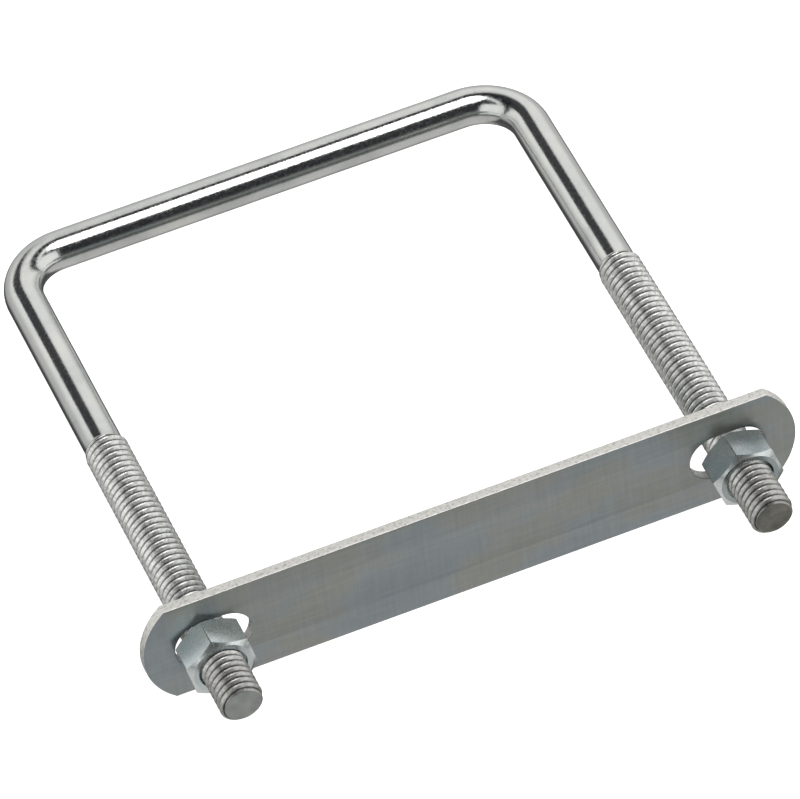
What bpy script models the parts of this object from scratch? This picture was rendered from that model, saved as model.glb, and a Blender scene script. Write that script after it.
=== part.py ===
"""Square U-bolt with clamp plate and two hex nuts, as four separate solids.

Frame (metres): X runs along the crossbar and the plate, the legs point along -Y, +Z is up.
The U lies flat.  The origin is at the centre of the bounding box, on its lowest face, which is
the long lower edge of the plate.
"""

import math

import bmesh
import bpy

MM = 0.001

# Rod: 3/8-16 thread rolled on a thinner shank, bent to a square U.  The right leg is a little
# longer than the left one.  Leg lengths run from the crossbar's centre line to the leg's tip.
INSIDE_WIDTH = 104.8 * MM
SHANK_RADIUS = 4.1 * MM
THREAD_RADIUS = 4.65 * MM
THREAD_ROOT_RADIUS = 3.85 * MM
THREAD_START = 57.3 * MM
THREAD_RUNOUT = 0.9 * MM
END_CHAMFER = THREAD_RADIUS - THREAD_ROOT_RADIUS
BEND_RADIUS = 11.5 * MM
LEFT_LEG_LENGTH = 135.0 * MM
RIGHT_LEG_LENGTH = 136.6 * MM

# Clamp plate: flat strip with round ends and two slots.
PLATE_LENGTH = 140.6 * MM
PLATE_WIDTH = 24.6 * MM
PLATE_THICKNESS = 2.3 * MM
PLATE_END_RADIUS = 16.3 * MM
PLATE_TO_CROSSBAR = 116.2 * MM
SLOT_LENGTH = 16.3 * MM
SLOT_WIDTH = 11.2 * MM
SLOT_SPACING = 110.8 * MM

# Nut: small-pattern hex nut, chamfered on both faces.  A nut turned by zero has a corner on top.
# The nuts are spun on by hand and stand a little off the plate.
NUT_ACROSS_FLATS = 13.5 * MM
NUT_THICKNESS = 7.6 * MM
LEFT_NUT_GAP = 0.5 * MM
RIGHT_NUT_GAP = 1.2 * MM
NUT_BORE_RADIUS = 5.0 * MM
NUT_COUNTERSINK_RADIUS = 5.4 * MM
NUT_CHAMFER_ANGLE = math.radians(30)
NUT_FACE_RATIO = 0.92
LEFT_NUT_TURN = math.radians(11)
RIGHT_NUT_TURN = math.radians(17)

SHANK_OVERLAP = 6.0 * MM
ROD_SIDES = 32
BEND_STEPS = 10
TURNED_STEPS = 32
WELD_DISTANCE = 0.002 * MM
SHARP_ANGLE = math.radians(35)

# Places that follow from the sizes above.
LEG_X = INSIDE_WIDTH / 2 + SHANK_RADIUS
AXIS_HEIGHT = PLATE_WIDTH / 2
OVERALL_DEPTH = RIGHT_LEG_LENGTH + SHANK_RADIUS
CROSSBAR_Y = OVERALL_DEPTH / 2 - SHANK_RADIUS
PLATE_OUTER_Y = CROSSBAR_Y - PLATE_TO_CROSSBAR
THREAD_START_Y = CROSSBAR_Y - THREAD_START


def clear_scene():
    """Remove everything that the startup file holds."""
    for item in list(bpy.data.objects):
        bpy.data.objects.remove(item, do_unlink=True)
    for group in list(bpy.data.collections):
        bpy.data.collections.remove(group)


def new_collection(name):
    """Make a collection under the scene's own."""
    group = bpy.data.collections.new(name)
    bpy.context.scene.collection.children.link(group)
    return group


def zinc(name, colour, roughness):
    """Zinc-plated steel, as a metallic Principled material."""
    material = bpy.data.materials.new(name)
    material.use_nodes = True
    shader = material.node_tree.nodes["Principled BSDF"]
    shader.inputs["Base Color"].default_value = (*colour, 1.0)
    shader.inputs["Roughness"].default_value = roughness
    shader.inputs["Metallic"].default_value = 1.0
    material.diffuse_color = (*colour, 1.0)
    return material


def rod_zinc():
    """Bright plating on the drawn rod."""
    return zinc("bright_zinc", (0.66, 0.68, 0.70), 0.18)


def plate_zinc():
    """Duller, bluish plating on the rolled strip."""
    return zinc("strip_zinc", (0.46, 0.50, 0.53), 0.36)


def nut_zinc():
    """Bluish plating on the nuts."""
    return zinc("nut_zinc", (0.50, 0.56, 0.58), 0.26)


def finish(item, name, material, group):
    """Name a part, give it its material and shading, and put it in its collection."""
    item.name = name
    item.data.name = name
    item.data.materials.clear()
    item.data.materials.append(material)
    for other in list(item.users_collection):
        other.objects.unlink(item)
    group.objects.link(item)
    item.data.shade_smooth()
    item.data.set_sharp_from_angle(angle=SHARP_ANGLE)


def hide_cutter(item, group):
    """Keep a cutter out of renders and show it as wire."""
    for other in list(item.users_collection):
        other.objects.unlink(item)
    group.objects.link(item)
    item.hide_render = True
    item.display_type = "WIRE"


def mesh_from_curve(curve_object):
    """Turn a curve object into a mesh object with its caps welded on."""
    graph = bpy.context.evaluated_depsgraph_get()
    evaluated = curve_object.evaluated_get(graph)
    mesh = bpy.data.meshes.new_from_object(evaluated)
    shape = bmesh.new()
    shape.from_mesh(mesh)
    bmesh.ops.remove_doubles(shape, verts=shape.verts, dist=WELD_DISTANCE)
    bmesh.ops.recalc_face_normals(shape, faces=shape.faces)
    shape.to_mesh(mesh)
    shape.free()
    item = bpy.data.objects.new(curve_object.name + "_mesh", mesh)
    item.matrix_world = curve_object.matrix_world.copy()
    bpy.context.scene.collection.objects.link(item)
    bpy.data.objects.remove(curve_object, do_unlink=True)
    return item


def turned(name, profile, group):
    """Turn a profile of (radius, height) points, listed from top to bottom, about local Z."""
    mesh = bpy.data.meshes.new(name)
    points = [(radius, 0.0, height) for radius, height in profile]
    edges = [(index, index + 1) for index in range(len(points) - 1)]
    mesh.from_pydata(points, edges, [])
    item = bpy.data.objects.new(name, mesh)
    group.objects.link(item)
    screw = item.modifiers.new("turn", "SCREW")
    screw.axis = "Z"
    screw.steps = TURNED_STEPS
    screw.render_steps = TURNED_STEPS
    screw.use_merge_vertices = True
    screw.merge_threshold = WELD_DISTANCE
    return item


def add_boolean(item, other, operation):
    """Join, cut or intersect a part with another object."""
    step = item.modifiers.new(operation.lower(), "BOOLEAN")
    step.operation = operation
    step.object = other
    step.solver = "EXACT"


def arc_points(centre, radius, start, end, steps):
    """Points in a plane on an arc, from the start angle to the end angle."""
    points = []
    for index in range(steps + 1):
        angle = start + (end - start) * index / steps
        points.append((centre[0] + radius * math.cos(angle), centre[1] + radius * math.sin(angle)))
    return points


def shank_route():
    """Centre line of the bent shank: up the left leg, across, and down the right leg."""
    leg_foot = THREAD_START_Y - SHANK_OVERLAP
    bend_x = LEG_X - BEND_RADIUS
    bend_y = CROSSBAR_Y - BEND_RADIUS
    left_bend = arc_points((-bend_x, bend_y), BEND_RADIUS, math.pi, math.pi / 2, BEND_STEPS)
    right_bend = arc_points((bend_x, bend_y), BEND_RADIUS, math.pi / 2, 0.0, BEND_STEPS)
    return [(-LEG_X, leg_foot)] + left_bend + right_bend + [(LEG_X, leg_foot)]


def make_shank():
    """The thinner, unthreaded part of the rod, as a bevelled curve made into a mesh."""
    curve = bpy.data.curves.new("shank", "CURVE")
    curve.dimensions = "3D"
    curve.bevel_depth = SHANK_RADIUS
    curve.bevel_resolution = ROD_SIDES // 4 - 1
    curve.use_fill_caps = True
    route = shank_route()
    spline = curve.splines.new("POLY")
    spline.points.add(len(route) - 1)
    for point, (x, y) in zip(spline.points, route):
        point.co = (x, y, AXIS_HEIGHT, 1.0)
    item = bpy.data.objects.new("shank", curve)
    bpy.context.scene.collection.objects.link(item)
    return mesh_from_curve(item)


def make_threaded_leg(name, x, leg_length, group):
    """Threaded end of a leg at its crest diameter, with a run-out and a chamfered tip."""
    length = leg_length - THREAD_START
    profile = [
        (0.0, length),
        (SHANK_RADIUS, length),
        (THREAD_RADIUS, length - THREAD_RUNOUT),
        (THREAD_RADIUS, END_CHAMFER),
        (THREAD_ROOT_RADIUS, 0.0),
        (0.0, 0.0),
    ]
    item = turned(name, profile, group)
    item.location = (x, CROSSBAR_Y - leg_length, AXIS_HEIGHT)
    item.rotation_euler = (-math.pi / 2, 0.0, 0.0)
    hide_cutter(item, group)
    return item


def make_bent_rod(parts, helpers):
    """The whole rod: bent shank joined to both threaded legs."""
    rod = make_shank()
    for side, x, length in (("left", -LEG_X, LEFT_LEG_LENGTH), ("right", LEG_X, RIGHT_LEG_LENGTH)):
        leg = make_threaded_leg(side + "_threaded_leg", x, length, helpers)
        add_boolean(rod, leg, "UNION")
    finish(rod, "bent_rod", rod_zinc(), parts)
    return rod


def add_outline(curve, points):
    """Add a closed flat outline to a 2D curve."""
    spline = curve.splines.new("POLY")
    spline.points.add(len(points) - 1)
    for point, (x, y) in zip(spline.points, points):
        point.co = (x, y, 0.0, 1.0)
    spline.use_cyclic_u = True


def plate_outline():
    """Straight long edges and an arc across each end."""
    centre_x = PLATE_LENGTH / 2 - PLATE_END_RADIUS
    half_sweep = math.asin(PLATE_WIDTH / 2 / PLATE_END_RADIUS)
    right_end = arc_points((centre_x, 0.0), PLATE_END_RADIUS, -half_sweep, half_sweep, 14)
    left_end = [(-x, -y) for x, y in right_end]
    return right_end + left_end


def slot_outline(centre_x):
    """Slot with half-round ends, along the plate."""
    radius = SLOT_WIDTH / 2
    offset = SLOT_LENGTH / 2 - radius
    right_end = arc_points((centre_x + offset, 0.0), radius, -math.pi / 2, math.pi / 2, 12)
    left_end = arc_points((centre_x - offset, 0.0), radius, math.pi / 2, 3 * math.pi / 2, 12)
    return right_end + left_end


def make_clamp_plate(parts):
    """Flat plate from its outline and its two slots, standing on its lower long edge."""
    curve = bpy.data.curves.new("plate_outline", "CURVE")
    curve.dimensions = "2D"
    curve.fill_mode = "BOTH"
    curve.extrude = PLATE_THICKNESS / 2
    add_outline(curve, plate_outline())
    for side in (-1, 1):
        add_outline(curve, slot_outline(side * SLOT_SPACING / 2))
    outline = bpy.data.objects.new("plate_outline", curve)
    outline.location = (0.0, PLATE_OUTER_Y + PLATE_THICKNESS / 2, AXIS_HEIGHT)
    outline.rotation_euler = (math.pi / 2, 0.0, 0.0)
    bpy.context.scene.collection.objects.link(outline)
    bpy.context.view_layer.update()
    plate = mesh_from_curve(outline)
    finish(plate, "clamp_plate", plate_zinc(), parts)
    return plate


def make_chamfer_envelope(helpers):
    """Two cones, base to base, that trim the hexagon's corners towards both faces."""
    face_radius = NUT_FACE_RATIO * NUT_ACROSS_FLATS / 2
    slope = math.tan(NUT_CHAMFER_ANGLE)
    apex = NUT_THICKNESS / 2 + face_radius * slope
    return turned("nut_envelope", [(0.0, apex), (apex / slope, 0.0), (0.0, -apex)], helpers)


def make_bore(helpers):
    """Bore through the nut with a countersink at each face."""
    reach = NUT_THICKNESS
    half = NUT_THICKNESS / 2
    depth = NUT_COUNTERSINK_RADIUS - NUT_BORE_RADIUS
    profile = [
        (0.0, reach),
        (NUT_COUNTERSINK_RADIUS, reach),
        (NUT_COUNTERSINK_RADIUS, half),
        (NUT_BORE_RADIUS, half - depth),
        (NUT_BORE_RADIUS, depth - half),
        (NUT_COUNTERSINK_RADIUS, -half),
        (NUT_COUNTERSINK_RADIUS, -reach),
        (0.0, -reach),
    ]
    return turned("nut_bore", profile, helpers)


def make_nut(name, x, gap, turn, parts, envelope, bore):
    """Hexagonal nut on a leg's axis, a gap away from the plate, its cutters placed with it."""
    mesh = bpy.data.meshes.new(name)
    shape = bmesh.new()
    corner_radius = NUT_ACROSS_FLATS / 2 / math.cos(math.pi / 6)
    bmesh.ops.create_cone(
        shape, cap_ends=True, segments=6, radius1=corner_radius, radius2=corner_radius,
        depth=NUT_THICKNESS)
    shape.to_mesh(mesh)
    shape.free()
    nut = bpy.data.objects.new(name, mesh)
    parts.objects.link(nut)
    nut.location = (x, PLATE_OUTER_Y - gap - NUT_THICKNESS / 2, AXIS_HEIGHT)
    nut.rotation_mode = "XYZ"
    nut.rotation_euler = (math.pi / 2, -turn, 0.0)
    for shared, operation in ((envelope, "INTERSECT"), (bore, "DIFFERENCE")):
        tool = shared.copy()
        shared.users_collection[0].objects.link(tool)
        tool.name = name + "_" + shared.name
        tool.location = nut.location
        tool.rotation_euler = nut.rotation_euler
        hide_cutter(tool, shared.users_collection[0])
        add_boolean(nut, tool, operation)
    finish(nut, name, nut_zinc(), parts)
    return nut


def main():
    """Build the four pieces."""
    clear_scene()
    parts = new_collection("u_bolt")
    helpers = new_collection("u_bolt_cutters")
    make_bent_rod(parts, helpers)
    make_clamp_plate(parts)
    envelope = make_chamfer_envelope(helpers)
    bore = make_bore(helpers)
    make_nut("left_nut", -LEG_X, LEFT_NUT_GAP, LEFT_NUT_TURN, parts, envelope, bore)
    make_nut("right_nut", LEG_X, RIGHT_NUT_GAP, RIGHT_NUT_TURN, parts, envelope, bore)
    bpy.data.objects.remove(envelope, do_unlink=True)
    bpy.data.objects.remove(bore, do_unlink=True)
    bpy.context.view_layer.update()


main()
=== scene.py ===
"""Looks of the square U-bolt: zinc-plated rod with true rolled threads, strip plate and hex nuts."""

import math

import bmesh
import bpy
from mathutils import Matrix, Vector, noise


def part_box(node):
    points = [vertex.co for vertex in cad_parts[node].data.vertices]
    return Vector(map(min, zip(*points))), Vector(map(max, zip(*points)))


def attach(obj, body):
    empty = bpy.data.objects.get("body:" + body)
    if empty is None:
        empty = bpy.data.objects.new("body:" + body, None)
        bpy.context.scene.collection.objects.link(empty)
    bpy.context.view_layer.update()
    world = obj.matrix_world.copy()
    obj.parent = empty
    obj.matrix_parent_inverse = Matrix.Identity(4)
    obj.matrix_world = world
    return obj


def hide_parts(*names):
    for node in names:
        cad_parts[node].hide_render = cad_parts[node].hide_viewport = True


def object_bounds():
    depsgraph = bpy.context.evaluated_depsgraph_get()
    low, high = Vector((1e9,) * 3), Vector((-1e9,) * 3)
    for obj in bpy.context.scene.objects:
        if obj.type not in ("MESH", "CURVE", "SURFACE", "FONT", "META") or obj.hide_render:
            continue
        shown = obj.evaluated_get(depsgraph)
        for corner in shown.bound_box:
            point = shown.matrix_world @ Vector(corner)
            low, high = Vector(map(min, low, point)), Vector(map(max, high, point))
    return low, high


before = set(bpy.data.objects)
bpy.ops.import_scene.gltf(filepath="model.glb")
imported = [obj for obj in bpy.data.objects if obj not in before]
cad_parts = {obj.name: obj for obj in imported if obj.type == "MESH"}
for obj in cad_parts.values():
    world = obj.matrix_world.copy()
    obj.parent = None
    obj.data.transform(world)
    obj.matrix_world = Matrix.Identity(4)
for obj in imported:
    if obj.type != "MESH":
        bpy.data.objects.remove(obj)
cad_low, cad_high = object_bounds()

MM = 0.001
TURN = 2 * math.pi

# Sizes of the thread form and the edge finish, which the CAD solids leave plain.
PITCH = 25.4 * MM / 16
THREAD_SIDES = 72
THREAD_START = 57.3 * MM
LEFT_LEG_LENGTH = 135.0 * MM
CREST_RADIUS = 4.65 * MM
ROOT_RADIUS = 3.93 * MM
SHANK_RADIUS = 4.1 * MM
TIP_RADIUS = 3.82 * MM
TIP_CHAMFER_SLOPE = 1.1
RUNOUT = 0.8 * PITCH
TAP_CLEARANCE = 0.1 * MM
# One pitch of the thread form: (share of the pitch, share of the depth above the root).
THREAD_FORM = [
    (0.00, 0.88), (0.05, 0.98), (0.12, 1.00), (0.19, 0.98), (0.24, 0.88),
    (0.50, 0.26), (0.58, 0.04), (0.62, 0.00), (0.66, 0.04), (0.74, 0.26), (0.81, 0.44),
]
ROWS = len(THREAD_FORM)
ROW_SNAP = 0.02 * PITCH
# Shares of the thread's depth over which the painted shade at a thread root fades from dark to none.
GROOVE_SHADE_BOTTOM = 0.08
GROOVE_SHADE_TOP = 0.50
BEND_RADIUS = 11.5 * MM
BEND_STEPS = 28
STRAIGHT_STEPS = 26
WAVINESS = 0.018 * MM
WAVES_PER_METRE = 120.0
# Rings of a leg's sheared end: (share of the rim's radius, depth inside the rim, minus if proud).
TIP_RINGS = [(0.94, -0.05 * MM), (0.75, 0.03 * MM), (0.5, 0.06 * MM), (0.25, 0.07 * MM)]
TIP_ROUGHNESS = 0.05 * MM

PLATE_EDGE_ROUND = 0.22 * MM
PLATE_END_RADIUS = 16.3 * MM
SLOT_LENGTH = 16.3 * MM
SLOT_WIDTH = 11.2 * MM
SLOT_SPACING = 110.8 * MM
END_STEPS = 40
SLOT_STEPS = 32
WELD_DISTANCE = 0.002 * MM

ACROSS_FLATS = 13.5 * MM
NUT_FACE_RATIO = 0.92
NUT_CHAMFER = math.radians(30)
NUT_EDGE_ROUND = 0.26 * MM
COUNTERSINK_RADIUS = 5.15 * MM
CUTTER_OVERLAP = 1.0 * MM
TURNED_STEPS = 96
ENVELOPE_STEPS = 144
# A nut's chamfer faces have a normal whose share along the leg is between these.
CHAMFER_TILT = (0.7, 0.95)
NUT_TURNS = {"left_nut": math.radians(11), "right_nut": math.radians(17)}
# Zinc tones as (noise level, colour).
NUT_TONES = {
    "left_nut": [(0.32, (0.60, 0.66, 0.68)), (0.50, (0.68, 0.74, 0.75)), (0.68, (0.76, 0.81, 0.81))],
    "right_nut": [(0.32, (0.38, 0.43, 0.45)), (0.50, (0.45, 0.50, 0.51)), (0.68, (0.52, 0.56, 0.56))],
}
# Painted highlight: nut chamfers get a brighter copy of the zinc than the flats, as if catching the
# light.
CHAMFER_HIGHLIGHT_TONES = [(0.32, (0.78, 0.82, 0.82)), (0.50, (0.86, 0.89, 0.89)), (0.68, (0.92, 0.94, 0.93))]

FLOOR_SIZE = 40.0
FLOOR_GAP = 0.02 * MM
FLOOR_GLOW = 0.84
SUN_STRENGTH = 1.15
SUN_SPREAD = math.radians(38)
SUN_TILT = (math.radians(11.5), math.radians(7), 0)
CAMERA_LENS = 365.42
CAMERA_PLACE = (-0.32186, -1.10164, 1.19367)
CAMERA_TURN = (math.radians(43.780), math.radians(5.360), math.radians(-22.042))

# Places read from the CAD frame.
ROD_LOW, ROD_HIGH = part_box("bent_rod")
PLATE_LOW, PLATE_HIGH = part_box("clamp_plate")
AXIS_Z = (PLATE_LOW.z + PLATE_HIGH.z) / 2
LEG_X = ROD_HIGH.x - CREST_RADIUS
CROSSBAR_Y = ROD_HIGH.y - SHANK_RADIUS
THREAD_START_Y = CROSSBAR_Y - THREAD_START
LEG_TIPS = {-1: CROSSBAR_Y - LEFT_LEG_LENGTH, 1: ROD_LOW.y}
# The thread is darker towards the tips: by this share, fading out over this span of y.
NUT_OUTER_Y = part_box("left_nut")[0].y
STUD_DARKENING = 0.5
STUD_DARKENING_SPAN = (NUT_OUTER_Y - 4 * MM, NUT_OUTER_Y + 4 * MM)


def add_object(name, data):
    """New object that holds the data, linked to the scene."""
    item = bpy.data.objects.new(name, data)
    bpy.context.scene.collection.objects.link(item)
    return item


def mesh_from(shape, name):
    """New mesh made from a bmesh, which is freed."""
    mesh = bpy.data.meshes.new(name)
    shape.to_mesh(mesh)
    shape.free()
    return mesh


# ---------------------------------------------------------------- materials

def new_material(name):
    """Empty material with a Principled shader; returns the material, its tree and the shader."""
    material = bpy.data.materials.new(name)
    material.use_nodes = True
    tree = material.node_tree
    return material, tree, tree.nodes["Principled BSDF"]


def add_noise(tree, coordinates, scale, detail=4.0, roughness=0.55, stretch=(1.0, 1.0, 1.0)):
    """Noise texture on stretched object coordinates."""
    mapping = tree.nodes.new("ShaderNodeMapping")
    mapping.inputs["Scale"].default_value = stretch
    texture = tree.nodes.new("ShaderNodeTexNoise")
    texture.inputs["Scale"].default_value = scale
    texture.inputs["Detail"].default_value = detail
    texture.inputs["Roughness"].default_value = roughness
    tree.links.new(coordinates, mapping.inputs["Vector"])
    tree.links.new(mapping.outputs["Vector"], texture.inputs["Vector"])
    return texture.outputs["Fac"]


def add_ramp(tree, value, stops):
    """Colour ramp through (position, colour) stops."""
    ramp = tree.nodes.new("ShaderNodeValToRGB")
    elements = ramp.color_ramp.elements
    while len(elements) < len(stops):
        elements.new(0.5)
    for element, (position, colour) in zip(elements, stops):
        element.position = position
        element.color = (*colour, 1.0)
    tree.links.new(value, ramp.inputs["Fac"])
    return ramp.outputs["Color"]


def add_range(tree, value, low, high, from_low=0.35, from_high=0.65):
    """Map a value from one range to another, clamped; by default from the middle of a noise."""
    node = tree.nodes.new("ShaderNodeMapRange")
    node.inputs["From Min"].default_value = from_low
    node.inputs["From Max"].default_value = from_high
    node.inputs["To Min"].default_value = low
    node.inputs["To Max"].default_value = high
    tree.links.new(value, node.inputs["Value"])
    return node.outputs["Result"]


def add_mix(tree, factor, first, second, mode="MIX"):
    """Mix two colours; the factor is a number or a socket."""
    node = tree.nodes.new("ShaderNodeMix")
    node.data_type = "RGBA"
    node.blend_type = mode
    if isinstance(factor, float):
        node.inputs["Factor"].default_value = factor
    else:
        tree.links.new(factor, node.inputs["Factor"])
    for socket, source in ((node.inputs["A"], first), (node.inputs["B"], second)):
        if isinstance(source, tuple):
            socket.default_value = (*source, 1.0)
        else:
            tree.links.new(source, socket)
    return node.outputs["Result"]


def add_bump(tree, shader, layers):
    """Chain bump layers of (height socket, strength, distance) into the shader's normal."""
    previous = None
    for height, strength, distance in layers:
        bump = tree.nodes.new("ShaderNodeBump")
        bump.inputs["Strength"].default_value = strength
        bump.inputs["Distance"].default_value = distance
        tree.links.new(height, bump.inputs["Height"])
        if previous is not None:
            tree.links.new(previous, bump.inputs["Normal"])
        previous = bump.outputs["Normal"]
    tree.links.new(previous, shader.inputs["Normal"])


def read_attribute(tree, name):
    """Value stored on the mesh."""
    attribute = tree.nodes.new("ShaderNodeAttribute")
    attribute.attribute_name = name
    return attribute.outputs["Fac"]


def object_coordinates(tree):
    """Object coordinates, in metres."""
    return tree.nodes.new("ShaderNodeTexCoord").outputs["Object"]


def rod_material():
    """Bright zinc on the drawn rod; the rolled thread is speckled and rougher, with painted shade at
    the roots of its grooves.
    """
    material, tree, shader = new_material("zinc_rod_bright")
    where = object_coordinates(tree)
    clouds = add_noise(tree, where, 90.0, 5.0)
    tone = add_ramp(tree, clouds, [
        (0.35, (0.62, 0.63, 0.62)), (0.50, (0.72, 0.73, 0.72)), (0.68, (0.78, 0.78, 0.75))])
    thread = read_attribute(tree, "thread")
    speckle = add_ramp(tree, add_noise(tree, where, 1300.0, 3.0), [
        (0.40, (0.66, 0.66, 0.64)), (0.50, (0.90, 0.90, 0.88)), (0.60, (1.0, 1.0, 0.98))])
    tone = add_mix(tree, thread, tone, speckle)
    parts = tree.nodes.new("ShaderNodeSeparateXYZ")
    tree.links.new(where, parts.inputs["Vector"])
    # Base colour darker towards the tips, past the nuts' outer face.
    dull = add_range(tree, parts.outputs["Y"], STUD_DARKENING, 0.0, *STUD_DARKENING_SPAN)
    tone = add_mix(tree, dull, tone, (0.30, 0.28, 0.26))
    # Painted shade: near black mixed in at the thread roots, where the crests shade the grooves.
    tone = add_mix(tree, read_attribute(tree, "groove_shade"), tone, (0.03, 0.03, 0.03))
    tree.links.new(tone, shader.inputs["Base Color"])
    shader.inputs["Metallic"].default_value = 1.0
    grain = add_noise(tree, where, 1600.0, 3.0)
    plain = add_range(tree, grain, 0.10, 0.22)
    rolled = add_range(tree, grain, 0.30, 0.46)
    rough = tree.nodes.new("ShaderNodeMix")
    tree.links.new(thread, rough.inputs["Factor"])
    tree.links.new(plain, rough.inputs["A"])
    tree.links.new(rolled, rough.inputs["B"])
    tree.links.new(rough.outputs["Result"], shader.inputs["Roughness"])
    peel = add_noise(tree, where, 2300.0, 2.0)
    waves = add_noise(tree, where, 420.0, 2.0)
    add_bump(tree, shader, [(waves, 0.35, 0.02 * MM), (peel, 0.9, 0.014 * MM)])
    return material


def stud_end_material(name, dark, middle, light):
    """Sheared leg tip: dull grey zinc, clouded."""
    material, tree, shader = new_material(name)
    where = object_coordinates(tree)
    clouds = add_noise(tree, where, 420.0, 6.0)
    tone = add_ramp(tree, clouds, [(0.35, dark), (0.55, middle), (0.72, light)])
    tree.links.new(tone, shader.inputs["Base Color"])
    shader.inputs["Metallic"].default_value = 0.85
    tree.links.new(add_range(tree, clouds, 0.42, 0.62), shader.inputs["Roughness"])
    add_bump(tree, shader, [(clouds, 0.5, 0.03 * MM)])
    return material


def plate_face_material():
    """Satin zinc on rolled strip: bluish grey, olive stains, fine cross-hatched grain."""
    material, tree, shader = new_material("zinc_plate_face")
    where = object_coordinates(tree)
    blotches = add_noise(tree, where, 34.0, 5.0, 0.6, (1.0, 1.0, 1.6))
    tone = add_ramp(tree, blotches, [
        (0.30, (0.31, 0.35, 0.38)), (0.46, (0.365, 0.40, 0.415)),
        (0.58, (0.41, 0.415, 0.385)), (0.75, (0.385, 0.42, 0.43))])
    along = add_noise(tree, where, 420.0, 5.0, 0.7, (0.16, 1.0, 2.6))
    across = add_noise(tree, where, 420.0, 5.0, 0.7, (2.6, 1.0, 0.16))
    streaks = add_mix(tree, 0.5, along, across)
    grained = add_mix(tree, 0.38, tone, streaks, "OVERLAY")
    tree.links.new(grained, shader.inputs["Base Color"])
    shader.inputs["Metallic"].default_value = 1.0
    tree.links.new(add_range(tree, blotches, 0.30, 0.46), shader.inputs["Roughness"])
    add_bump(tree, shader, [(along, 0.28, 0.02 * MM), (across, 0.22, 0.02 * MM)])
    return material


def plate_edge_material():
    """Sheared plate edge: pale, rough and speckled."""
    material, tree, shader = new_material("zinc_plate_edge")
    where = object_coordinates(tree)
    speckle = add_noise(tree, where, 1500.0, 4.0, 0.7)
    tone = add_ramp(tree, speckle, [
        (0.36, (0.66, 0.65, 0.62)), (0.47, (0.93, 0.92, 0.88)), (0.62, (0.99, 0.98, 0.95))])
    tree.links.new(tone, shader.inputs["Base Color"])
    shader.inputs["Metallic"].default_value = 0.9
    tree.links.new(add_range(tree, speckle, 0.42, 0.60), shader.inputs["Roughness"])
    add_bump(tree, shader, [(speckle, 0.9, 0.04 * MM)])
    return material


def nut_material(name, stops):
    """Semi-bright, bluish zinc on a nut."""
    material, tree, shader = new_material(name)
    where = object_coordinates(tree)
    clouds = add_noise(tree, where, 210.0, 5.0)
    tree.links.new(add_ramp(tree, clouds, stops), shader.inputs["Base Color"])
    shader.inputs["Metallic"].default_value = 1.0
    grain = add_noise(tree, where, 1200.0, 4.0)
    tree.links.new(add_range(tree, grain, 0.22, 0.34), shader.inputs["Roughness"])
    add_bump(tree, shader, [(grain, 0.10, 0.006 * MM), (clouds, 0.06, 0.02 * MM)])
    return material


def floor_material():
    """Plain white table that glows a little, so that shadows stay faint."""
    material, tree, shader = new_material("pale_floor")
    where = object_coordinates(tree)
    mottle = add_noise(tree, where, 3.0, 2.0)
    tone = add_ramp(tree, mottle, [(0.3, (0.86, 0.86, 0.86)), (0.7, (0.88, 0.88, 0.88))])
    tree.links.new(tone, shader.inputs["Base Color"])
    shader.inputs["Roughness"].default_value = 0.9
    shader.inputs["Specular IOR Level"].default_value = 0.1
    shader.inputs["Emission Color"].default_value = (1.0, 1.0, 1.0, 1.0)
    shader.inputs["Emission Strength"].default_value = FLOOR_GLOW
    return material


# ---------------------------------------------------------------- threads

def thread_grid(length, radius_at, place, vertices, heights):
    """Helical grid between two plain rings, added to the vertices and to their thread heights.

    Each row of the grid keeps to one phase of the thread, so crests and roots are clean lines.
    Returns the faces as vertex index lists, and the rings at the start and at the end.
    """
    known = {}

    def vertex(column, row):
        if column == THREAD_SIDES:
            column = 0
            row -= ROWS
        share, height = THREAD_FORM[row % ROWS]
        along = PITCH * (row // ROWS + share - column / THREAD_SIDES)
        if along <= ROW_SNAP:
            key = ("start", column)
            along = 0.0
        elif along >= length - ROW_SNAP:
            key = ("end", column)
            along = length
        else:
            key = (column, row)
        if key not in known:
            known[key] = len(vertices)
            angle = TURN * column / THREAD_SIDES
            vertices.append(place(along, angle, radius_at(along, height)))
            heights.append(height)
        return known[key]

    faces = []
    for row in range((math.ceil(length / PITCH) + 1) * ROWS + 1):
        for column in range(THREAD_SIDES):
            corners = [
                vertex(column, row), vertex(column + 1, row),
                vertex(column + 1, row + 1), vertex(column, row + 1)]
            unique = list(dict.fromkeys(corners))
            if len(unique) > 2:
                faces.append(unique)
    start = [known[("start", column)] for column in range(THREAD_SIDES)]
    end = [known[("end", column)] for column in range(THREAD_SIDES)]
    return faces, start, end


def smooth(value):
    """Ease from 0 to 1."""
    value = min(max(value, 0.0), 1.0)
    return value * value * (3 - 2 * value)


def leg_place(side, start_y):
    """Function that places a point by its way along a leg, its angle and its radius."""
    def place(along, angle, radius):
        return Vector((
            side * LEG_X + radius * math.cos(angle), start_y + along,
            AXIS_Z + radius * math.sin(angle)))
    return place


def leg_radius(length):
    """Function for the radius along a leg from its tip: chamfer, thread, run-out into the shank."""
    def radius_at(along, height):
        threaded = ROOT_RADIUS + (CREST_RADIUS - ROOT_RADIUS) * height
        share = smooth((length - along) / RUNOUT)
        blended = SHANK_RADIUS + (threaded - SHANK_RADIUS) * share
        return min(blended, TIP_RADIUS + along * TIP_CHAMFER_SLOPE)
    return radius_at


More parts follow.
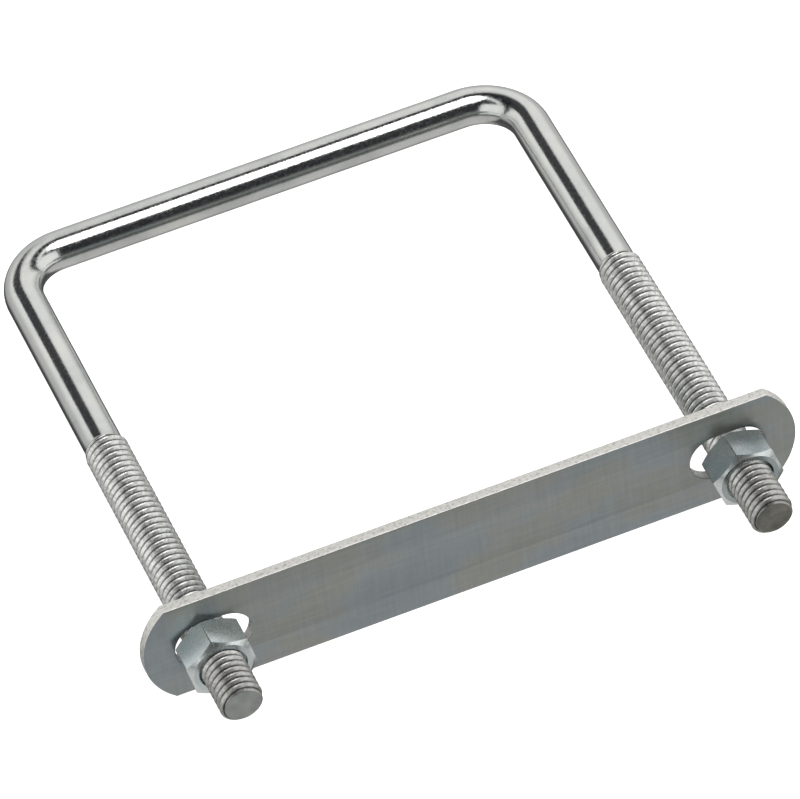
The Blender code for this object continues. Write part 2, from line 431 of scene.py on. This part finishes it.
def make_rod():
    """Whole rod as one closed mesh: threaded leg, bent shank, threaded leg."""
    vertices = []
    heights = []
    faces = []
    caps = []
    rings = {}
    for side, tip in LEG_TIPS.items():
        length = THREAD_START_Y - tip
        grid, start, end = thread_grid(
            length, leg_radius(length), leg_place(side, tip), vertices, heights)
        faces += grid
        rings[side] = end
        caps.append((start, Vector((side * LEG_X, tip, AXIS_Z))))
        for index in start + end:
            heights[index] = 1.0
    faces += shank_faces(vertices, rings)
    cap_faces = []
    for ring, centre in caps:
        cap_faces += tip_faces(vertices, ring, centre)
    mesh = bpy.data.meshes.new("bent_rod_visual")
    mesh.from_pydata(vertices, [], faces + cap_faces)
    mesh.materials.append(rod_material())
    mesh.materials.append(stud_end_material(
        "zinc_left_tip", (0.30, 0.31, 0.31), (0.38, 0.39, 0.38), (0.46, 0.47, 0.45)))
    mesh.materials.append(stud_end_material(
        "zinc_right_tip", (0.14, 0.14, 0.125), (0.21, 0.205, 0.18), (0.29, 0.28, 0.25)))
    for polygon in mesh.polygons:
        if polygon.index >= len(faces):
            polygon.material_index = 1 if polygon.center.x < 0 else 2
    # The shank and the tips get no painted root shade, like a crest.
    heights += [1.0] * (len(vertices) - len(heights))
    add_attribute(mesh, "groove_shade", [
        1.0 - smooth((height - GROOVE_SHADE_BOTTOM) / (GROOVE_SHADE_TOP - GROOVE_SHADE_BOTTOM)) for height in heights])
    add_attribute(mesh, "thread", [
        smooth((THREAD_START_Y - point.y) / RUNOUT) for point in vertices])
    finish_piece("bent_rod_visual", mesh, "bent_rod", "rod", 50)


def add_attribute(mesh, name, values):
    """Store one number per vertex on the mesh."""
    attribute = mesh.attributes.new(name, "FLOAT", "POINT")
    attribute.data.foreach_set("value", values)


def shank_stations():
    """Centre points and inward normals of the bent shank, from left leg to right leg."""
    stations = []
    bend_y = CROSSBAR_Y - BEND_RADIUS
    bend_x = LEG_X - BEND_RADIUS
    for step in range(1, STRAIGHT_STEPS):
        y = THREAD_START_Y + (bend_y - THREAD_START_Y) * step / STRAIGHT_STEPS
        stations.append((Vector((-LEG_X, y, AXIS_Z)), Vector((1, 0, 0))))
    for side in (-1, 1):
        for step in range(BEND_STEPS + 1):
            angle = math.pi - side_angle(side, step)
            outward = Vector((math.cos(angle), math.sin(angle), 0))
            centre = Vector((side * bend_x, bend_y, AXIS_Z))
            stations.append((centre + outward * BEND_RADIUS, -outward))
        if side < 0:
            for step in range(1, 2 * STRAIGHT_STEPS):
                x = -bend_x + bend_x * step / STRAIGHT_STEPS
                stations.append((Vector((x, CROSSBAR_Y, AXIS_Z)), Vector((0, -1, 0))))
    for step in range(1, STRAIGHT_STEPS):
        y = bend_y + (THREAD_START_Y - bend_y) * step / STRAIGHT_STEPS
        stations.append((Vector((LEG_X, y, AXIS_Z)), Vector((-1, 0, 0))))
    return stations


def side_angle(side, step):
    """Angle swept from the left leg's outer side, over both bends."""
    quarter = math.pi / 2
    return quarter * step / BEND_STEPS + (quarter if side > 0 else 0.0)


def shank_faces(vertices, rings):
    """Rings along the bent shank, faintly wavy like drawn rod, joined to both threads."""
    faces = []
    previous = rings[-1]
    for centre, inward in shank_stations():
        ring = []
        for column in range(THREAD_SIDES):
            angle = TURN * column / THREAD_SIDES
            ray = inward * math.cos(angle) + Vector((0, 0, math.sin(angle)))
            sway = WAVINESS * noise.noise((centre + ray * SHANK_RADIUS) * WAVES_PER_METRE)
            ring.append(len(vertices))
            vertices.append(centre + ray * (SHANK_RADIUS + sway))
        faces += joined(previous, ring)
        previous = ring
    half = THREAD_SIDES // 2
    last = [rings[1][(half - column) % THREAD_SIDES] for column in range(THREAD_SIDES)]
    faces += joined(previous, last)
    return faces


def joined(first, second):
    """Quads between two rings."""
    count = len(first)
    return [
        (first[i], first[(i + 1) % count], second[(i + 1) % count], second[i]) for i in range(count)]


def tip_faces(vertices, ring, centre):
    """Slightly dished, sheared end face inside the chamfer."""
    faces = []
    previous = ring
    for share, depth in TIP_RINGS:
        inner = []
        for index in ring:
            offset = (vertices[index] - centre) * share
            rough = TIP_ROUGHNESS * noise.noise(offset * 900.0 + centre * 50.0)
            inner.append(len(vertices))
            vertices.append(centre + offset + Vector((0, depth + rough, 0)))
        faces += joined(previous, inner)
        previous = inner
    hub = len(vertices)
    vertices.append(centre + Vector((0, TIP_RINGS[-1][1], 0)))
    count = len(previous)
    faces += [(previous[i], previous[(i + 1) % count], hub) for i in range(count)]
    return faces


def finish_piece(name, mesh, node, body, sharp_degrees):
    """Face the mesh outwards, shade it, link it, and give it its place in the frame."""
    shape = bmesh.new()
    shape.from_mesh(mesh)
    bmesh.ops.recalc_face_normals(shape, faces=shape.faces)
    shape.to_mesh(mesh)
    shape.free()
    mesh.shade_smooth()
    mesh.set_sharp_from_angle(angle=math.radians(sharp_degrees))
    piece = add_object(name, mesh)
    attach(piece, body)
    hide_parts(node)


# ---------------------------------------------------------------- plate

def arc(centre, radius, start, end, steps):
    """Points on an arc in a plane, round a centre on the first axis."""
    points = []
    for step in range(steps + 1):
        angle = start + (end - start) * step / steps
        points.append((centre + radius * math.cos(angle), radius * math.sin(angle)))
    return points


def flat_outline(curve, points):
    """Add a closed outline to a flat curve."""
    spline = curve.splines.new("POLY")
    spline.points.add(len(points) - 1)
    for point, (x, y) in zip(spline.points, points):
        point.co = (x, y, 0.0, 1.0)
    spline.use_cyclic_u = True


def evaluated_mesh(item):
    """Welded mesh of a curve object with its bevel; the object is removed."""
    bpy.context.view_layer.update()
    graph = bpy.context.evaluated_depsgraph_get()
    mesh = bpy.data.meshes.new_from_object(item.evaluated_get(graph))
    mesh.transform(item.matrix_world)
    bpy.data.objects.remove(item)
    shape = bmesh.new()
    shape.from_mesh(mesh)
    bmesh.ops.remove_doubles(shape, verts=shape.verts, dist=WELD_DISTANCE)
    shape.to_mesh(mesh)
    shape.free()
    return mesh


def make_plate():
    """Clamp plate with rounded strip edges and two punched slots."""
    width = PLATE_HIGH.z - PLATE_LOW.z
    length = PLATE_HIGH.x - PLATE_LOW.x
    thickness = PLATE_HIGH.y - PLATE_LOW.y
    curve = bpy.data.curves.new("plate_outline", "CURVE")
    curve.dimensions = "2D"
    curve.fill_mode = "BOTH"
    curve.extrude = thickness / 2 - PLATE_EDGE_ROUND
    curve.bevel_depth = PLATE_EDGE_ROUND
    curve.bevel_resolution = 3
    curve.offset = -PLATE_EDGE_ROUND
    sweep = math.asin(width / 2 / PLATE_END_RADIUS)
    end = arc(length / 2 - PLATE_END_RADIUS, PLATE_END_RADIUS, -sweep, sweep, END_STEPS)
    flat_outline(curve, end + [(-x, -y) for x, y in end])
    radius = SLOT_WIDTH / 2
    reach = SLOT_LENGTH / 2 - radius
    quarter = math.pi / 2
    for middle in (-SLOT_SPACING / 2, SLOT_SPACING / 2):
        right = arc(middle + reach, radius, -quarter, quarter, SLOT_STEPS)
        left = arc(middle - reach, radius, quarter, 3 * quarter, SLOT_STEPS)
        flat_outline(curve, right + left)
    item = add_object("plate_outline", curve)
    item.location = (0.0, (PLATE_LOW.y + PLATE_HIGH.y) / 2, AXIS_Z)
    item.rotation_euler = (math.pi / 2, 0.0, 0.0)
    mesh = evaluated_mesh(item)
    mesh.name = "clamp_plate_visual"
    mesh.materials.clear()
    mesh.materials.append(plate_face_material())
    mesh.materials.append(plate_edge_material())
    for polygon in mesh.polygons:
        polygon.material_index = 0 if abs(polygon.normal.y) > 0.6 else 1
    finish_piece("clamp_plate_visual", mesh, "clamp_plate", "plate", 25)


# ---------------------------------------------------------------- nuts

def turned_solid(name, profile, steps=TURNED_STEPS):
    """Solid of revolution about Z from (radius, height) points, both ends on the axis."""
    shape = bmesh.new()
    rings = []
    for radius, height in profile:
        if radius == 0.0:
            rings.append([shape.verts.new((0, 0, height))])
        else:
            angles = [TURN * i / steps for i in range(steps)]
            rings.append([
                shape.verts.new((radius * math.cos(angle), radius * math.sin(angle), height))
                for angle in angles])
    for upper, lower in zip(rings, rings[1:]):
        for i in range(steps):
            corners = [
                upper[i % len(upper)], lower[i % len(lower)],
                lower[(i + 1) % len(lower)], upper[(i + 1) % len(upper)]]
            shape.faces.new(list(dict.fromkeys(corners)))
    bmesh.ops.recalc_face_normals(shape, faces=shape.faces)
    return add_object(name, mesh_from(shape, name))


def tap_solid(side, low_y, high_y):
    """Threaded cutter in phase with its leg's thread, a little larger than the thread."""
    tip = LEG_TIPS[side]
    first_turn = math.floor((low_y - tip) / PITCH) - 1
    origin = tip + first_turn * PITCH
    length = PITCH * (math.ceil((high_y - origin) / PITCH) + 1)

    def radius_at(_, height):
        return ROOT_RADIUS + TAP_CLEARANCE + (CREST_RADIUS - ROOT_RADIUS) * height

    vertices = []
    faces, start, end = thread_grid(length, radius_at, leg_place(side, origin), vertices, [])
    faces += [list(reversed(start)), end]
    mesh = bpy.data.meshes.new("tap")
    mesh.from_pydata(vertices, [], faces)
    shape = bmesh.new()
    shape.from_mesh(mesh)
    bmesh.ops.recalc_face_normals(shape, faces=shape.faces)
    shape.to_mesh(mesh)
    shape.free()
    return add_object("tap", mesh)


def apply_boolean(item, tool, operation):
    """Apply an exact Boolean and remove the tool."""
    step = item.modifiers.new(operation, "BOOLEAN")
    step.operation = operation
    step.object = tool
    step.solver = "EXACT"
    bpy.context.view_layer.update()
    graph = bpy.context.evaluated_depsgraph_get()
    mesh = bpy.data.meshes.new_from_object(item.evaluated_get(graph))
    item.modifiers.clear()
    item.data = mesh
    bpy.data.objects.remove(tool)


def make_nut(node, side, body):
    """Hex nut: chamfered hexagon with rounded edges, countersinks and a real internal thread."""
    low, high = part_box(node)
    thickness = high.y - low.y
    middle = Vector((side * LEG_X, (low.y + high.y) / 2, AXIS_Z))
    turn = Matrix.Rotation(-NUT_TURNS[node], 4, "Y") @ Matrix.Rotation(math.pi / 2, 4, "X")
    placed = Matrix.Translation(middle) @ turn
    shape = bmesh.new()
    corner = ACROSS_FLATS / 2 / math.cos(math.pi / 6)
    bmesh.ops.create_cone(
        shape, cap_ends=True, segments=6, radius1=corner, radius2=corner, depth=thickness)
    upright = [
        edge for edge in shape.edges if abs(edge.verts[0].co.z - edge.verts[1].co.z) > thickness / 2]
    bmesh.ops.bevel(
        shape, geom=upright, offset=NUT_EDGE_ROUND, segments=3, profile=0.5, affect="EDGES")
    item = add_object(node + "_visual", mesh_from(shape, node + "_visual"))
    face_radius = NUT_FACE_RATIO * ACROSS_FLATS / 2
    slope = math.tan(NUT_CHAMFER)
    apex = thickness / 2 + face_radius * slope
    envelope = turned_solid(
        "envelope", [(0.0, apex), (apex / slope, 0.0), (0.0, -apex)], ENVELOPE_STEPS)
    apply_boolean(item, envelope, "INTERSECT")
    for end in (-1, 1):
        sink = turned_solid("sink", [
            (0.0, CUTTER_OVERLAP), (COUNTERSINK_RADIUS + CUTTER_OVERLAP, CUTTER_OVERLAP),
            (0.0, -COUNTERSINK_RADIUS)])
        sink.location = (0, 0, end * thickness / 2)
        if end < 0:
            sink.rotation_euler = (math.pi, 0, 0)
        apply_boolean(item, sink, "DIFFERENCE")
    item.data.transform(placed)
    apply_boolean(item, tap_solid(side, low.y, high.y), "DIFFERENCE")
    mesh = item.data
    bpy.data.objects.remove(item)
    mesh.name = node + "_visual"
    mesh.materials.clear()
    mesh.materials.append(nut_material("zinc_" + node, NUT_TONES[node]))
    # Painted highlight: the chamfer faces take the brighter chamfer zinc.
    mesh.materials.append(nut_material("zinc_" + node + "_chamfer_highlight", CHAMFER_HIGHLIGHT_TONES))
    for polygon in mesh.polygons:
        offset = polygon.center - middle
        outside = math.hypot(offset.x, offset.z) > face_radius
        tilted = CHAMFER_TILT[0] < abs(polygon.normal.y) < CHAMFER_TILT[1]
        polygon.material_index = int(outside and tilted)
    finish_piece(node + "_visual", mesh, node, body, 22)


# ---------------------------------------------------------------- studio

def make_floor():
    """Large plain floor under the part."""
    shape = bmesh.new()
    bmesh.ops.create_grid(shape, x_segments=8, y_segments=8, size=FLOOR_SIZE)
    floor = add_object("floor", mesh_from(shape, "floor"))
    floor.data.materials.append(floor_material())
    floor.location = (0, 0, cad_low.z - FLOOR_GAP)
    floor.visible_glossy = False


def add_math(tree, operation, first, second):
    """One math node; each input is a socket or a number."""
    node = tree.nodes.new("ShaderNodeMath")
    node.operation = operation
    for socket, source in zip(node.inputs, (first, second)):
        if isinstance(source, (int, float)):
            socket.default_value = source
        else:
            tree.links.new(source, socket)
    return node.outputs["Value"]


def window(tree, value, low, high, soft):
    """1 between two limits, with a soft change at each."""
    rise = add_range(tree, value, 0.0, 1.0, low - soft, low + soft)
    fall = add_range(tree, value, 1.0, 0.0, high - soft, high + soft)
    return add_math(tree, "MULTIPLY", rise, fall)


def make_lights():
    """Soft light overhead in a pale studio with dark stretches, which the zinc mirrors."""
    lamp = bpy.data.lights.new("overhead_softbox", "SUN")
    lamp.energy = SUN_STRENGTH
    lamp.angle = SUN_SPREAD
    lamp.color = (1.0, 0.995, 0.985)
    add_object("overhead_softbox", lamp).rotation_euler = SUN_TILT
    world = bpy.data.worlds.new("studio")
    bpy.context.scene.world = world
    world.use_nodes = True
    tree = world.node_tree
    background = tree.nodes["Background"]
    where = tree.nodes.new("ShaderNodeTexCoord").outputs["Generated"]
    parts = tree.nodes.new("ShaderNodeSeparateXYZ")
    tree.links.new(where, parts.inputs["Vector"])
    x, y, z = (parts.outputs[axis] for axis in "XYZ")
    # Ceiling coordinates: where a ray upwards meets a plane one unit overhead.
    up = add_math(tree, "MAXIMUM", z, 0.02)
    across = add_math(tree, "DIVIDE", x, up)
    along = add_math(tree, "DIVIDE", y, up)
    # Camera side: near black above the horizon, dark grey around it, pale table below.
    front = add_ramp(tree, add_range(tree, z, 0.0, 1.0, -1.0, 1.0), [
        (0.00, (0.60, 0.60, 0.59)), (0.27, (0.55, 0.55, 0.54)), (0.33, (0.12, 0.13, 0.125)),
        (0.60, (0.10, 0.11, 0.105)), (0.65, (0.025, 0.026, 0.03))])
    # Far side: dark below, pale panel above the horizon, brighter off to both sides.
    back = add_ramp(tree, add_range(tree, z, 0.0, 1.0, -1.0, 1.0), [
        (0.00, (0.55, 0.55, 0.54)), (0.05, (0.12, 0.12, 0.12)), (0.22, (0.06, 0.06, 0.06)),
        (0.34, (0.50, 0.50, 0.50)), (0.60, (0.62, 0.63, 0.62)), (1.0, (0.66, 0.66, 0.65))])
    aside = add_math(tree, "ABSOLUTE", x, 0.0)
    bright = add_math(
        tree, "MULTIPLY", add_range(tree, aside, 0.0, 1.0, 0.05, 0.25),
        add_range(tree, z, 0.0, 1.0, 0.05, 0.35))
    back = add_mix(tree, bright, back, (0.90, 0.90, 0.89))
    # Dark grey strip that the legs mirror, and a near black gap that the crossbar mirrors.
    strip = add_math(
        tree, "MULTIPLY", window(tree, across, -0.93, 0.13, 0.06),
        window(tree, along, 0.10, 2.1, 0.10))
    far = add_mix(tree, strip, back, (0.05, 0.05, 0.055))
    gap = window(tree, along, 0.12, 0.52, 0.05)
    far = add_mix(tree, gap, far, (0.012, 0.012, 0.016))
    # Pale side panels flank the camera.
    sideways = add_range(tree, aside, 0.0, 1.0, 0.36, 0.44)
    panels = add_math(tree, "MULTIPLY", sideways, window(tree, z, -0.22, 0.72, 0.05))
    front = add_mix(tree, panels, front, (0.95, 0.96, 0.95))
    shade = add_mix(tree, add_range(tree, y, 0.0, 1.0, -0.16, -0.06), front, far)
    tree.links.new(shade, background.inputs["Color"])
    background.inputs["Strength"].default_value = 1.0


def make_camera():
    """Long lens from above and to the left, tilted a few degrees."""
    camera = bpy.data.cameras.new("camera")
    camera.sensor_width = 36.0
    camera.lens = CAMERA_LENS
    camera.clip_start = 0.05
    camera.clip_end = 200.0
    item = add_object("camera", camera)
    item.location = CAMERA_PLACE
    item.rotation_euler = CAMERA_TURN
    bpy.context.scene.camera = item


make_rod()
make_plate()
make_nut("left_nut", -1, "nut_left")
make_nut("right_nut", 1, "nut_right")
make_floor()
make_lights()
make_camera()
bpy.context.scene.view_settings.view_transform = "Standard"
